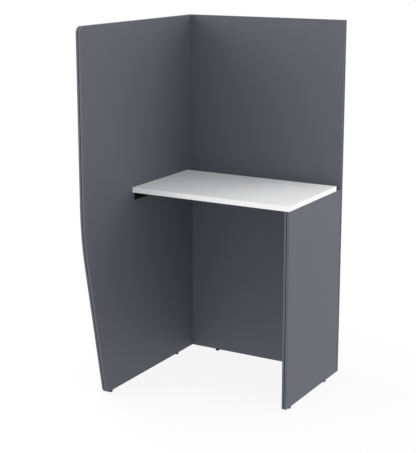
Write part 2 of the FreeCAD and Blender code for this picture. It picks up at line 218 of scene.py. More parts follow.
@dataclass(frozen=True)
class Finish:
    """A material: what it is and how its surface was made.

    Attributes:
        name: the real material's common name.
        colour: middle tone, as sRGB hex.
        roughness: roughness of the bare surface.
        tone_size: size of the drifting patches in metres.
        relief_size: size of the surface's grain in metres.
        relief_depth: height of the grain in metres.
        tone_swing: how far the tone drifts either way, as a share of the colour.
        tone_stops: where on the patches' scale the dark tone ends and the light one begins.
        metallic: 1 for bare metal.
        ior: index of refraction.
        specular: strength of the sheen, where 0.5 is what the index gives.
        stretch: how much shorter the grain is along each axis.
    """

    name: str
    colour: str
    roughness: float
    tone_size: float
    relief_size: float
    relief_depth: float
    tone_swing: float = 0.0
    tone_stops: tuple[float, float] = (0.3, 0.7)
    metallic: float = 0.0
    ior: float = 1.5
    specular: float = 0.5
    stretch: Triple = (1.0, 1.0, 1.0)

    def grain(self, tree: NodeTree, place: NodeSocket) -> NodeSocket:
        """Give the height of the surface's grain, from 0 to 1: here an even noise."""
        return add_node(tree, "ShaderNodeTexNoise",
                        {"Scale": 1 / self.relief_size, "Detail": GRAIN_OCTAVES,
                         "Roughness": GRAIN_FALLOFF}, {"Vector": place}).outputs["Fac"]

    def tones(self) -> tuple[LinearColour, LinearColour]:
        """Find the two tones that the surface drifts between.

        Returns:
            The darker tone and the lighter one.
        """
        middle = linear(self.colour)[:3]
        dark = tuple(c * (1 - self.tone_swing) for c in middle)
        light = tuple(min(1.0, c * (1 + self.tone_swing)) for c in middle)
        return (*dark, 1.0), (*light, 1.0)

    def coat(self, tree: NodeTree, place: NodeSocket, tone: NodeSocket) -> NodeSocket:
        """Give the colour of the surface: here the drifting tone alone."""
        return tone

    def material(self) -> Material:
        """Build the material once and give it again on later calls.

        Returns:
            The material of this finish.
        """
        known = bpy.data.materials.get(self.name)
        if known:
            return known
        material = bpy.data.materials.new(self.name)
        tree = empty_tree(material)
        place = add_node(tree, "ShaderNodeTexCoord").outputs["Object"]
        stretched = add_node(tree, "ShaderNodeMapping", {"Scale": self.stretch},
                             {"Vector": place}).outputs["Vector"]
        patches = add_node(tree, "ShaderNodeTexNoise",
                           {"Scale": 1 / self.tone_size, "Detail": PATCH_OCTAVES,
                            "Roughness": PATCH_FALLOFF}, {"Vector": stretched})
        ramp = add_node(tree, "ShaderNodeValToRGB", links={"Fac": patches.outputs["Fac"]})
        for element, stop, tone in zip(ramp.color_ramp.elements, self.tone_stops, self.tones()):
            element.position = stop
            element.color = tone
        height = self.grain(tree, stretched)
        sheen = add_node(tree, "ShaderNodeMapRange",
                         {"To Min": self.roughness * (1 - ROUGHNESS_SWING),
                          "To Max": self.roughness * (1 + ROUGHNESS_SWING)}, {"Value": height})
        bump = add_node(tree, "ShaderNodeBump", {"Strength": 1.0, "Distance": self.relief_depth},
                        {"Height": height})
        shader = add_node(tree, "ShaderNodeBsdfPrincipled",
                          {"Metallic": self.metallic, "IOR": self.ior,
                           "Specular IOR Level": self.specular},
                          {"Base Color": self.coat(tree, place, ramp.outputs["Color"]),
                           "Roughness": sheen.outputs["Result"],
                           "Normal": bump.outputs["Normal"]})
        add_node(tree, "ShaderNodeOutputMaterial", links={"Surface": shader.outputs["BSDF"]})
        return material


@dataclass(frozen=True)
class PressedMelamine(Finish):
    """Melamine film pressed on board with a beaded plate, which leaves soft round dimples."""

    def grain(self, tree: NodeTree, place: NodeSocket) -> NodeSocket:
        """Give the height of the surface, which is least in the middle of each dimple."""
        return add_node(tree, "ShaderNodeTexVoronoi",
                        {"feature": "SMOOTH_F1", "Scale": 1 / self.relief_size,
                         "Smoothness": DIMPLE_SMOOTHNESS}, {"Vector": place}).outputs["Distance"]


@dataclass(frozen=True)
class SkinBoard(PressedMelamine):
    """Melamine board for one skin of a panel, with black painted shade on its faces near the
    core's plane, which darkens the groove between the skins.

    Attributes:
        across: the axis across the panel.
        core_plane: where the core's middle plane cuts that axis, in metres.
        groove_shade_reach: how far from that plane the black painted shade reaches, in metres.
        bare: the sRGB hex of the black painted shade in the groove.
    """

    across: Axis = Axis.X
    core_plane: float = 0.0
    groove_shade_reach: float = 0.0
    # Colour of the painted shade on the skins' faces in the groove
    bare: str = CORE_BLACK_AND_GROOVE_SHADE

    def coat(self, tree: NodeTree, place: NodeSocket, tone: NodeSocket) -> NodeSocket:
        """Paint black shade on the board close to the core's plane, so that the groove reads dark.

        Args:
            tree: the material's nodes.
            place: the point on the piece.
            tone: the melamine's drifting tone.

        Returns:
            The colour of the surface.
        """
        axes = add_node(tree, "ShaderNodeSeparateXYZ", links={"Vector": place})
        # Painted shade: the skins' faces within reach of the core's plane, the groove's walls,
        # turn black
        bare = add_node(tree, "ShaderNodeMath",
                        {"operation": "COMPARE", 1: self.core_plane, 2: self.groove_shade_reach},
                        {0: axes.outputs[self.across]})
        mix = add_node(tree, "ShaderNodeMixRGB", {"Color2": linear(self.bare)},
                       {"Fac": bare.outputs["Value"], "Color1": tone})
        return mix.outputs["Color"]


@dataclass(frozen=True)
class PlatedSteel(Finish):
    """Steel with a thin zinc layer, whose passivation leaves faint warm and cool patches.

    Attributes:
        warm: the warmer tone, as sRGB hex. The finish's own colour is the cooler one.
    """

    tone_stops: tuple[float, float] = (0.35, 0.65)
    warm: str = "#cdc9bc"

    def tones(self) -> tuple[LinearColour, LinearColour]:
        """Give the cool tone and the warm one."""
        return linear(self.colour), linear(self.warm)


@dataclass(frozen=True)
class BareWood(Finish):
    """Turned wood with long pale and dark fibres along its length.

    Attributes:
        early: the pale tone between the fibres, as sRGB hex. The finish's own colour is theirs.
    """

    early: str = "#dcbb92"

    def tones(self) -> tuple[LinearColour, LinearColour]:
        """Give the tone of the dark fibres and that of the pale wood between them."""
        return linear(self.colour), linear(self.early)


# Matt slate board: even in colour, with dimples that spread the light, and black painted shade on
# the skins' faces near the core, which darkens the groove between the skins. The real dimples are
# about 0.5 mm across. They are drawn coarser, and as much deeper, so that they show from near by.
SLATE_BOARD = SkinBoard(
    "slate_melamine_board", "#5b5e67", roughness=0.6, tone_swing=0.012, tone_size=0.35,
    relief_size=2.5 * MM, relief_depth=0.16 * MM, specular=0.4)
# Fibreboard dyed black all through: dull, with short grey fibres
BLACK_CORE = Finish(
    "black_fibreboard_core", CORE_BLACK_AND_GROOVE_SHADE, roughness=0.9, tone_swing=0.3, tone_size=1.5 * MM,
    relief_size=0.8 * MM, relief_depth=0.15 * MM, specular=0.3)
# White desk board: brighter and a little smoother than the panels, with the same dimples
WHITE_MELAMINE = PressedMelamine(
    "white_melamine_desk_board", "#f6f6f6", roughness=0.45, tone_swing=0.006, tone_size=0.3,
    relief_size=2.0 * MM, relief_depth=0.1 * MM)
# Extruded edge band: the smoothest and whitest surface, so that its arris catches the light
WHITE_ABS = Finish(
    "white_abs_edge_band", "#fbfbfb", roughness=0.38, tone_swing=0.006, tone_size=0.2,
    relief_size=1.2 * MM, relief_depth=0.01 * MM)
# Powder baked on bent sheet: deep black with a fine pebbled skin
POWDER_COAT = Finish(
    "black_powder_coated_steel", "#08090a", roughness=0.55, tone_swing=0.08, tone_size=0.05,
    relief_size=1.2 * MM, relief_depth=0.04 * MM, specular=0.12)
# Bright zinc: silver with faint blue and yellow patches from the passivation bath
ZINC = PlatedSteel(
    "bright_zinc_plated_steel", "#b9c0c8", roughness=0.3, metallic=1.0, tone_size=6 * MM,
    relief_size=0.6 * MM, relief_depth=0.005 * MM)
# Black zinc: the same bath with a black dye, which leaves a soft dark grey gleam
BLACK_ZINC = PlatedSteel(
    "black_zinc_plated_steel", "#1a1b1d", roughness=0.45, metallic=1.0, tone_size=3 * MM,
    relief_size=0.5 * MM, relief_depth=0.005 * MM, warm="#242322")
# Moulded nylon: black with a satin skin and a faint flow pattern
NYLON = Finish(
    "black_moulded_nylon", "#0a0a0b", roughness=0.5, tone_swing=0.1, tone_size=8 * MM,
    relief_size=0.5 * MM, relief_depth=0.02 * MM, ior=1.53, specular=0.12)
# Moulded polyethylene: waxy black, smoother where it slides
POLYETHYLENE = Finish(
    "black_polyethylene_glide", "#0b0b0c", roughness=0.45, tone_swing=0.12, tone_size=5 * MM,
    relief_size=1.0 * MM, relief_depth=0.01 * MM, ior=1.51, specular=0.12)
# Turned beech: pale pinkish brown with short dark flecks along its length
BEECH_LYING = BareWood(
    "bare_beech_dowel_lying", "#b98d63", roughness=0.65, tone_size=2.5 * MM,
    relief_size=0.6 * MM, relief_depth=0.04 * MM, stretch=(1.0, 0.12, 1.0))
BEECH_UPRIGHT = replace(BEECH_LYING, name="bare_beech_dowel_upright", stretch=(1.0, 1.0, 0.12))


class Section(Enum):
    """Cross-section of a turned piece."""

    ROUND = "round"
    HEXAGON = "hexagon"
    FLUTED = "fluted"
    REEDED = "reeded"
    CROSS = "cross"

    def share(self, angle: float) -> float:
        """Find the radius at an angle.

        Args:
            angle: radians about the piece's axis.

        Returns:
            The radius as a share of the widest.
        """
        if self is Section.HEXAGON:
            side = FULL_TURN / HEXAGON_SIDES
            return math.cos(side / 2) / math.cos(angle % side - side / 2)
        if self is Section.FLUTED:
            return 1 - FLUTE_SHARE * max(0.0, math.cos(FLUTE_COUNT * angle)) ** 2
        if self is Section.REEDED:
            return 1 - REED_SHARE * max(0.0, math.cos(REED_COUNT * angle))
        if self is Section.CROSS:
            arm = FULL_TURN / CROSS_ARMS
            off_arm = abs((angle + arm / 2) % arm - arm / 2)
            return min(1.0, CROSS_ARM_SHARE / max(math.sin(off_arm), CROSS_ARM_SHARE))
        return 1.0


@dataclass(frozen=True)
class Ring:
    """One closed loop of a turned piece, in millimetres from its axis and along it."""

    radius: float
    height: float
    section: Section = Section.ROUND


@dataclass(frozen=True)
class Edge:
    """The rounded edge between the end and the side of a turned piece.

    Attributes:
        points: how far each point lies in from the side and along from the end, in millimetres,
            in order from the end to the side.
    """

    points: Pairs

    def low(self, radius: float, end: float, section: Section = Section.ROUND) -> list[Ring]:
        """Give the rings from the lower end, at this height, to the side, at this radius."""
        return [Ring(radius - inward, end + along, section) for inward, along in self.points]

    def high(self, radius: float, end: float, section: Section = Section.ROUND) -> list[Ring]:
        """Give the rings from the side, at this radius, to the upper end, at this height."""
        return [Ring(radius - inward, end - along, section)
                for inward, along in reversed(self.points)]


# The edge under the head of a screw or bolt
UNDER_HEAD = Edge(((0.2, 0.0), (0.0, 0.2)))


def turn(mesh: BMesh, rings: Sequence[Ring], segments: int) -> None:
    """Add a closed piece that runs through rings from one end of its axis to the other.

    Args:
        mesh: mesh that gets the piece.
        rings: loops in order, the first and last of which are capped.
        segments: sides of each loop.
    """
    loop = bmesh.ops.create_circle(mesh, segments=segments, radius=1.0)["verts"]
    edges = list({edge for vertex in loop for edge in vertex.link_edges})
    set_ring(loop, rings[0])
    bmesh.ops.contextual_create(mesh, geom=edges)
    for ring in rings[1:]:
        grown = bmesh.ops.extrude_edge_only(mesh, edges=edges)["geom"]
        loop = [item for item in grown if isinstance(item, BMVert)]
        fresh = set(loop)
        edges = [item for item in grown
                 if isinstance(item, BMEdge) and fresh.issuperset(item.verts)]
        set_ring(loop, ring)
    bmesh.ops.contextual_create(mesh, geom=edges)


def set_ring(vertices: Sequence[BMVert], ring: Ring) -> None:
    """Move vertices, each along its own radius, on to a ring.

    Args:
        vertices: the vertices of one loop about Z.
        ring: where they go.
    """
    for vertex in vertices:
        angle = math.atan2(vertex.co.y, vertex.co.x)
        radius = ring.radius * MM * ring.section.share(angle)
        vertex.co = (radius * math.cos(angle), radius * math.sin(angle), ring.height * MM)


def cut_off(shape: BMesh, point: Triple, outward: Triple) -> None:
    """Cut away what lies past a plane, and cap the cut.

    Args:
        shape: shape that the plane cuts in one loop.
        point: a point of the plane in millimetres.
        outward: the plane's normal, towards what goes.
    """
    geometry = shape.verts[:] + shape.edges[:] + shape.faces[:]
    cut = bmesh.ops.bisect_plane(shape, geom=geometry, plane_co=Vector(point) * MM,
                                 plane_no=outward, clear_outer=True)["geom_cut"]
    rim = [item for item in cut if isinstance(item, BMEdge)]
    bmesh.ops.contextual_create(shape, geom=rim)


def add_copies(mesh: BMesh, shape: BMesh, places: Sequence[Matrix]) -> None:
    """Add a copy of one shape to a mesh at each place.

    Args:
        mesh: mesh that gets the copies.
        shape: what is copied.
        places: one placement for each copy, in metres.
    """
    carrier = bpy.data.meshes.new("carrier")
    shape.to_mesh(carrier)
    for place in places:
        known = len(mesh.verts)
        mesh.from_mesh(carrier)
        mesh.verts.ensure_lookup_table()
        bmesh.ops.transform(mesh, matrix=place, verts=mesh.verts[known:])
    bpy.data.meshes.remove(carrier)


@dataclass(frozen=True)
class Thread:
    """A screw thread, in millimetres.

    Attributes:
        radius: over the crests.
        depth: crest to root.
        pitch: from crest to crest.
        crest_share: flat of the crest as a share of the pitch.
        root_share: flat of the root as a share of the pitch.
        point: length over which the far end narrows, or 0 where it is cut square.
        point_share: radius left at the very point, as a share.
        steps: sides in one turn.
    """

    radius: float
    depth: float
    pitch: float
    crest_share: float = 0.125
    root_share: float = 0.25
    point: float = 0.0
    point_share: float = 0.08
    steps: int = 32

    @property
    def root(self) -> float:
        """Radius under the thread."""
        return self.radius - self.depth

    def cut(self, mesh: BMesh, low: float, high: float) -> None:
        """Add a threaded rod about Z between two heights.

        Args:
            mesh: mesh that gets the rod.
            low: height of its lower end.
            high: height of its upper end.
        """
        rod = bmesh.new()
        flank = (1 - self.crest_share - self.root_share) / 2
        profile = [(self.root, 0.0), (self.root, self.root_share),
                   (self.radius, self.root_share + flank),
                   (self.radius, self.root_share + flank + self.crest_share), (self.root, 1.0)]
        # Half a step further down, so that the planes of the cuts pass between the vertices
        start = low - (LEAD_TURNS + 0.5 / self.steps) * self.pitch
        points = [rod.verts.new((radius * MM, 0, (start + share * self.pitch) * MM))
                  for radius, share in profile]
        edges = [rod.edges.new(pair) for pair in zip(points, points[1:])]
        turns = math.ceil((high - low) / self.pitch) + SPARE_TURNS
        bmesh.ops.spin(rod, geom=points + edges, cent=(0, 0, 0), axis=(0, 0, 1),
                       dvec=(0, 0, self.pitch * MM / self.steps), angle=FULL_TURN * turns,
                       steps=self.steps * turns, use_merge=False, use_duplicate=False)
        bmesh.ops.remove_doubles(rod, verts=rod.verts, dist=MERGE_REACH)
        cut_off(rod, (0, 0, low), (0, 0, -1))
        cut_off(rod, (0, 0, high), (0, 0, 1))
        for vertex in rod.verts:
            past = vertex.co.z / MM - (high - self.point)
            if past > 0 and self.point:
                share = max(self.point_share, 1 - past / self.point)
                vertex.co = (vertex.co.x * share, vertex.co.y * share, vertex.co.z)
        add_copies(mesh, rod, [Matrix()])
        rod.free()

    def cut_chamfered(self, mesh: BMesh, low: float, high: float, chamfer: float) -> None:
        """Add a threaded rod about Z whose upper end is chamfered.

        Args:
            mesh: mesh that gets the rod.
            low: height of its lower end.
            high: height of its upper end.
            chamfer: height of the chamfer, and how far it goes in under the thread.
        """
        full = high - chamfer
        self.cut(mesh, low, full)
        turn(mesh, [Ring(self.root, full), Ring(self.root - chamfer, high)], self.steps)


def dress(node: Object, finish: Finish) -> None:
    """Give a piece one finish all over, and report it.

    Args:
        node: the piece.
        finish: its finish.
    """
    node.data.materials.clear()
    node.data.materials.append(finish.material())
    log.info("%s: %d faces, %s", node.name, len(node.data.polygons), finish.name)


def finished(name: str, mesh: BMesh, finish: Finish, sharp: float) -> Object:
    """Turn a bmesh into a dressed object at the origin.

    Args:
        name: the object's name.
        mesh: closed shells, freed here.
        finish: the finish all over.
        sharp: angle in degrees past which an edge stays sharp.

    Returns:
        The new object.
    """
    bmesh.ops.recalc_face_normals(mesh, faces=mesh.faces)
    data = bpy.data.meshes.new(name)
    mesh.to_mesh(data)
    mesh.free()
    data.shade_smooth()
    data.set_sharp_from_angle(angle=math.radians(sharp))
    piece = add_object(name, data)
    dress(piece, finish)
    return piece


@dataclass(frozen=True)
class Frame:
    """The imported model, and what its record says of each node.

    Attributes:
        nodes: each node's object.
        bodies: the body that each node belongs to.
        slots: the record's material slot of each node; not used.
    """

    nodes: dict[str, Object]
    bodies: dict[str, str]
    slots: dict[str, str]

    @classmethod
    def load(cls) -> Frame:
        """Load the frame and look its record up from node to body and slot.

        Returns:
            The loaded frame.
        """
        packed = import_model()
        record = packed["record"]
        bodies = {node: body for body, members in record["behaviour"]["bodies"].items()
                  for node in members}
        slots = {part["node"]: part["material_slot"] for part in record["subparts"]}
        return cls(packed["nodes"], bodies, slots)

    def stand_in(self, piece: Object, node: str) -> None:
        """Let a new piece take a node's place, on its body.

        Args:
            piece: the new piece.
            node: the node that it stands for.
        """
        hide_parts(node)
        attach(piece, self.bodies[node])


@dataclass(frozen=True)
class Row:
    """Identical pieces of one node, evenly spaced in a row.

    Attributes:
        node: the node that holds them.
        count: how many there are.
        run: the axis that the row runs along.
        point: unit vector from each piece's head to its tip.
    """

    node: str
    count: int
    run: Axis
    point: tuple[int, int, int]

    def places(self, radius: float, head: float = 0.0) -> list[Matrix]:
        """Find where each piece's seat is, with local Z towards its tip.

        Args:
            radius: a piece's widest radius in millimetres.
            head: height of its head above the seat in millimetres.

        Returns:
            One placement for each piece.
        """
        low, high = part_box(self.node)
        point = Vector(self.point)
        seat = (low + high) / 2
        reach = (high - low) / 2
        seat -= Vector(p * r for p, r in zip(point, reach))
        seat += point * head * MM
        turned = point.to_track_quat("Z", "Y")
        first = low[self.run] + radius * MM
        step = (high[self.run] - low[self.run] - 2 * radius * MM) / (self.count - 1)
        found = []
        for i in range(self.count):
            seat[self.run] = first + step * i
            found.append(Matrix.LocRotScale(seat.copy(), turned, None))
        return found


@dataclass(frozen=True)
class PanHeadScrew:
    """A wood screw with a domed head and a cross recess. Sizes in millimetres from its seat."""

    length: float
    head_radius: float = 4.0
    head_height: float = 2.4
    dome: Edge = Edge(((1.15, 0.18), (0.55, 0.55), (0.15, 1.1), (0.0, 1.75)))
    recess_radius: float = 2.1
    recess_depth: float = 1.6
    # Depth of the recess's mouth, and width of the flat round it
    recess_lip: float = 0.15
    # Reach of the recess's arms under the mouth and at the floor, as shares of its radius
    recess_neck: float = 0.94
    recess_floor: float = 0.62
    fillet: float = 0.35
    # Height of the plain shank, and how far the thread runs back into it
    shank: float = 1.0
    overlap: float = 0.1
    sides: int = 48
    thread: Thread = field(default_factory=lambda: Thread(
        radius=2.0, depth=0.55, pitch=1.8, crest_share=0.06, root_share=0.5, point=3.0, steps=24))

    def shape(self) -> BMesh:
        """Make the head with its recess and dome, then the thread and its point.

        Returns:
            The screw about Z, with its seat at 0 and its point up.
        """
        mesh = bmesh.new()
        top = -self.head_height
        reach = self.recess_radius
        root = self.thread.root
        cross = Section.CROSS
        rings = [Ring(reach * self.recess_floor, top + self.recess_depth, cross),
                 Ring(reach * self.recess_neck, top + self.recess_lip, cross),
                 Ring(reach, top, cross), Ring(reach + self.recess_lip, top),
                 *self.dome.low(self.head_radius, top),
                 *UNDER_HEAD.high(self.head_radius, 0.0),
                 Ring(root + self.fillet, 0.0), Ring(root, self.fillet), Ring(root, self.shank)]
        turn(mesh, rings, self.sides)
        self.thread.cut(mesh, self.shank - self.overlap, self.length)
        return mesh


@dataclass(frozen=True)
class CornerBolt:
    """A furniture bolt with a flat head and a hexagon socket. Millimetres from its seat."""

    length: float = 40.0
    head_radius: float = 7.5
    head_height: float = 2.4
    crown: Edge = Edge(((1.2, 0.0), (0.6, 0.15), (0.2, 0.5), (0.0, 1.0)))
    socket_across_flats: float = 4.0
    socket_depth: float = 1.6
    # Bevel round the socket's mouth
    mouth_depth: float = 0.25
    mouth_width: float = 0.3
    # Radius of the shank where it leaves the head, and below that
    fillet_radius: float = 3.09
    shank_radius: float = 2.9
    shank_length: float = 16.0
    # Length over which the shank narrows at either end
    taper: float = 0.4
    # Length of plain rod past the shank, and how far past the shank the thread starts
    neck: float = 0.5
    run_in: float = 0.2
    end_chamfer: float = 0.8
    sides: int = 60
    thread: Thread = field(default_factory=lambda: Thread(radius=3.0, depth=0.61, pitch=1.0))

    def shape(self) -> BMesh:
        """Make the head with its socket, the plain shank and the thread with its chamfer.

        Returns:
            The bolt about Z, with its seat at 0 and its end up.
        """
        mesh = bmesh.new()
        top = -self.head_height
        socket = self.socket_across_flats / 2 / math.cos(FULL_TURN / (2 * HEXAGON_SIDES))
        root = self.thread.root
        hexagon = Section.HEXAGON
        rings = [Ring(socket, top + self.socket_depth, hexagon),
                 Ring(socket, top + self.mouth_depth, hexagon),
                 Ring(socket + self.mouth_width, top),
                 *self.crown.low(self.head_radius, top),
                 *UNDER_HEAD.high(self.head_radius, 0.0),
                 Ring(self.fillet_radius, 0.0), Ring(self.shank_radius, self.taper),
                 Ring(self.shank_radius, self.shank_length - self.taper),
                 Ring(root, self.shank_length), Ring(root, self.shank_length + self.neck)]
        turn(mesh, rings, self.sides)
        self.thread.cut_chamfered(mesh, self.shank_length + self.run_in, self.length,
                                  self.end_chamfer)
        return mesh


@dataclass(frozen=True)
class Dowel:
    """A beech dowel with fine grooves for glue and chamfered ends. Sizes in millimetres."""

    length: float = 33.0
    radius: float = 4.0
    chamfer: float = 1.0
    # Rounding between a chamfer and the flat of its end
    arris: Edge = Edge(((0.15, 0.0), (0.0, 0.1)))
    sides: int = 144

    def shape(self) -> BMesh:
        """Make the grooved stick between its two chamfers.

        Returns:
            The dowel about Z, from 0 up.
        """
        mesh = bmesh.new()
        end = self.radius - self.chamfer
        rings = [*self.arris.low(end, 0.0), Ring(self.radius, self.chamfer, Section.REEDED),
                 Ring(self.radius, self.length - self.chamfer, Section.REEDED),
                 *self.arris.high(end, self.length)]
        turn(mesh, rings, self.sides)
        return mesh


@dataclass(frozen=True)
class Fixings:
    """Screws, bolts, inserts and dowels that hold the booth together."""

    frame: Frame
    panel_screw: PanHeadScrew = PanHeadScrew(length=13.0)
    desk_screw: PanHeadScrew = PanHeadScrew(length=18.0)
    bolt: CornerBolt = CornerBolt()
    dowel: Dowel = Dowel()
    # Screws in one angle, bolts up one corner, and dowels between the leg panel and the desk
    screws_in_panel: int = 4
    screws_in_desk: int = 3
    left_bolts: int = 4
    right_bolts: int = 3
    desk_dowels: int = 3

    def row(self, name: str, shape: BMesh, row: Row, places: Sequence[Matrix],
            finish: Finish) -> None:
        """Put one shape at each place of a row, in the place of the row's node.

        Args:
            name: name of the new piece.
            shape: what stands at each place, freed here.
            row: the row that the piece stands for.
            places: one placement for each copy.
            finish: the finish all over.
        """
        mesh = bmesh.new()
        add_copies(mesh, shape, places)
        shape.free()
        self.frame.stand_in(finished(name, mesh, finish, TURNED_SHARP), row.node)

    def headed(self, name: str, kind: PanHeadScrew | CornerBolt, row: Row, finish: Finish) -> None:
        """Put screws or bolts along a row, with their heads on their seats."""
        places = row.places(kind.head_radius, kind.head_height)
        self.row(name, kind.shape(), row, places, finish)

    def dowels(self, name: str, row: Row, finish: Finish) -> None:
        """Put dowels across one joint."""
        self.row(name, self.dowel.shape(), row, row.places(self.dowel.radius), finish)

    def build(self) -> None:
        """Build every row, and dress the inserts as they are in the frame."""
        for side, into_panel in (("left", -1), ("right", 1)):
            for place, screw, count, point in (
                    ("panel", self.panel_screw, self.screws_in_panel, (into_panel, 0, 0)),
                    ("desk", self.desk_screw, self.screws_in_desk, (0, 0, 1))):
                self.headed(f"{side}_{place}_wood_screws", screw,
                            Row(f"{side}_angle_{place}_screws", count, Axis.Y, point), BLACK_ZINC)
        for side, count in (("left", self.left_bolts), ("right", self.right_bolts)):
            self.headed(side + "_socket_bolts", self.bolt,
                        Row(side + "_corner_bolts", count, Axis.Z, (0, -1, 0)), ZINC)
            self.dowels(side + "_grooved_dowels",
                        Row(side + "_corner_dowels", count - 1, Axis.Z, (0, -1, 0)), BEECH_LYING)
        self.dowels("desk_grooved_dowels",
                    Row("desk_dowels", self.desk_dowels, Axis.Y, (0, 0, -1)), BEECH_UPRIGHT)
        for name in ("left_corner_inserts", "right_corner_inserts", "foot_inserts"):
            dress(self.frame.nodes[name], ZINC)


@dataclass(frozen=True)
class Panels:
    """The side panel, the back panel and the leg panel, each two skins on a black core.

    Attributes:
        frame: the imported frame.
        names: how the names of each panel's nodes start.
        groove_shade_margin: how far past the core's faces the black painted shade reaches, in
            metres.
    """

    frame: Frame
    names: tuple[str, ...] = ("side_panel", "back_panel", "leg_panel")
    groove_shade_margin: float = 0.1 * MM

    def board(self, panel: str) -> SkinBoard:
        """Fit the slate board to one panel, with black painted shade where its skins face the
        core.

        Args:
            panel: how the names of the panel's nodes start.

        Returns:
            The finish of the panel's skins.
        """
        low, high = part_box(panel + "_core")
        size = high - low
        across = min(Axis, key=lambda axis: size[axis])
        return replace(SLATE_BOARD, name=f"{SLATE_BOARD.name}_{panel}", across=across,
                       core_plane=(low[across] + high[across]) / 2,
                       groove_shade_reach=size[across] / 2 + self.groove_shade_margin)

    def build(self) -> None:
        """Dress the skins and the core of each panel."""
        for panel in self.names:
            board = self.board(panel)
            for name, node in self.frame.nodes.items():
                if name.startswith(panel):
                    dress(node, BLACK_CORE if name.endswith("core") else board)


@dataclass(frozen=True)
class Desk:
    """The desk board with its edge band."""

    frame: Frame

    def build(self) -> None:
        """Dress the board and the band."""
        for name, finish in (("desk_board", WHITE_MELAMINE), ("desk_edge_band", WHITE_ABS)):
            dress(self.frame.nodes[name], finish)


@dataclass(frozen=True)
class SupportAngles:
    """The two angles under the desk, bent from sheet.

    Attributes:
        frame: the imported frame.
        edge: rounding that the powder gives the cut edges, in millimetres.
        edge_segments: faces across that rounding.
        flat: angle in degrees under which faces are one flat.
        cut_edge: angle in degrees past which an edge is a cut one.
    """

    frame: Frame
    edge: float = 0.35
    edge_segments: int = 2
    flat: float = 0.5
    cut_edge: float = 50.0

    def build(self) -> None:
        """Copy each angle from the frame and round its cut edges."""
        for side in ("left", "right"):
            node = side + "_support_angle"
            mesh = bmesh.new()
            mesh.from_mesh(self.frame.nodes[node].data)
            bmesh.ops.remove_doubles(mesh, verts=mesh.verts, dist=MERGE_REACH)
            bmesh.ops.dissolve_limit(mesh, angle_limit=math.radians(self.flat),
                                     verts=mesh.verts, edges=mesh.edges)
            cut = [edge for edge in mesh.edges
                   if edge.calc_face_angle(0.0) > math.radians(self.cut_edge)]
            bmesh.ops.bevel(mesh, geom=cut, offset=self.edge * MM, affect="EDGES",
                            segments=self.edge_segments, profile=0.5, material=-1,
                            clamp_overlap=True)
            piece = finished(side + "_bent_angle", mesh, POWDER_COAT, self.cut_edge)
            self.frame.stand_in(piece, node)


